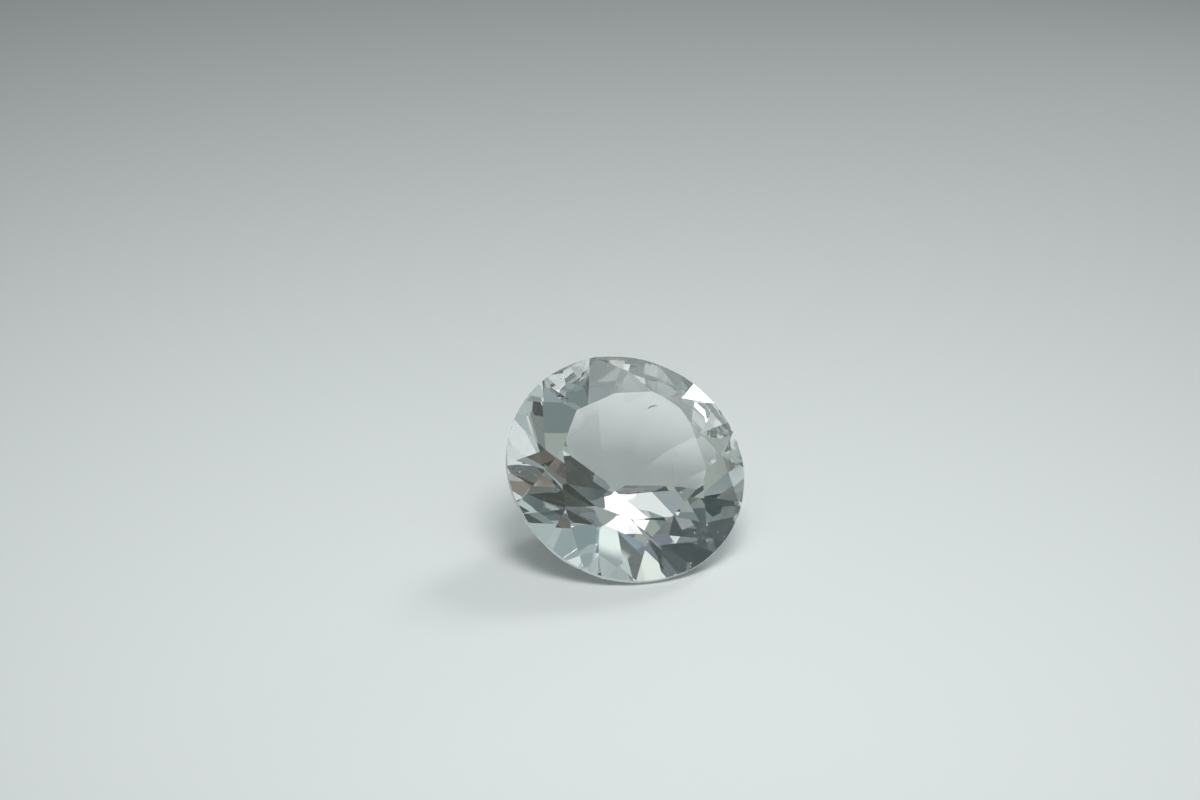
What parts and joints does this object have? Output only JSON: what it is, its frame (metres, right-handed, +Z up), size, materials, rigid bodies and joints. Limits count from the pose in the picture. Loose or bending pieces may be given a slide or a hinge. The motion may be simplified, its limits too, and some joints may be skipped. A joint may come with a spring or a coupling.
{
  "type": "faceted petalite gem",
  "caption": "Colourless petalite cut by hand as a round brilliant, lying tilted on one flat facet of its pavilion.",
  "frame": {"origin": "centre of the underside of the stone's box, on the surface it lies on", "axes": "+Z up; the stone leans to the front, so its table faces -Y and up; X runs across the girdle"},
  "size_m": [0.008, 0.0062, 0.0055],
  "materials": {
    "petalite": "polished facets, clear and colourless, finely ground girdle"
  },
  "bodies": {
    "root": {"petalite": "petalite"}
  },
  "joints": []
}
